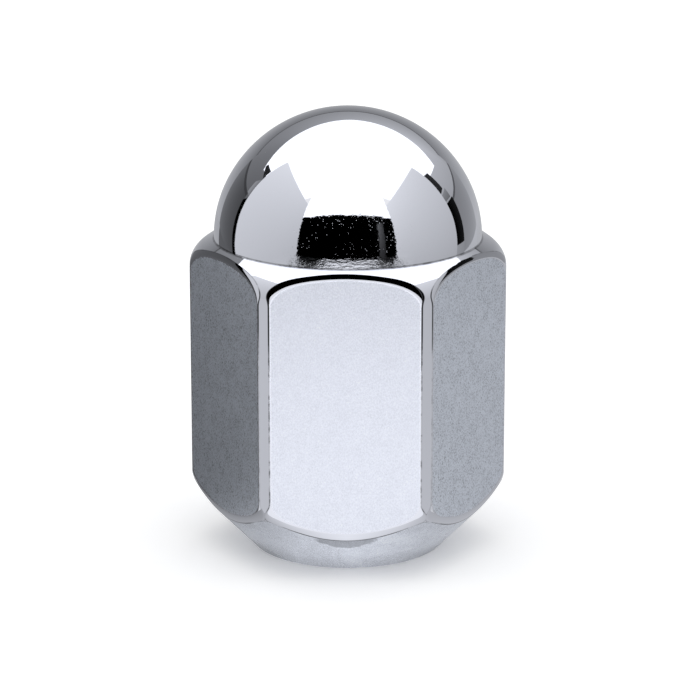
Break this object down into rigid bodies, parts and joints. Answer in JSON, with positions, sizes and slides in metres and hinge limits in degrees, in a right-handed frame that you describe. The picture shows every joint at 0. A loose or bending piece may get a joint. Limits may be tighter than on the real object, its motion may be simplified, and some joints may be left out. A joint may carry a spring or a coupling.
{
  "type": "lug nut",
  "caption": "Closed-end wheel nut with a round dome, hexagonal wrench flats, a conical seat and a blind threaded bore.",
  "frame": {"origin": "centre of the small flat end face that the nut stands on, on the nut's axis", "axes": "+Z along the nut's axis from the seat end to the dome; two opposite corners of the hexagon on +X and -X, two flats facing +Y and -Y"},
  "size_m": [0.0238, 0.021, 0.0335],
  "materials": {
    "chrome_plate": "bright chrome plate, mirror on the dome, shoulder and corners, satin grain on the six flats"
  },
  "bodies": {
    "root": {"lug_nut": "chrome_plate"}
  },
  "joints": []
}
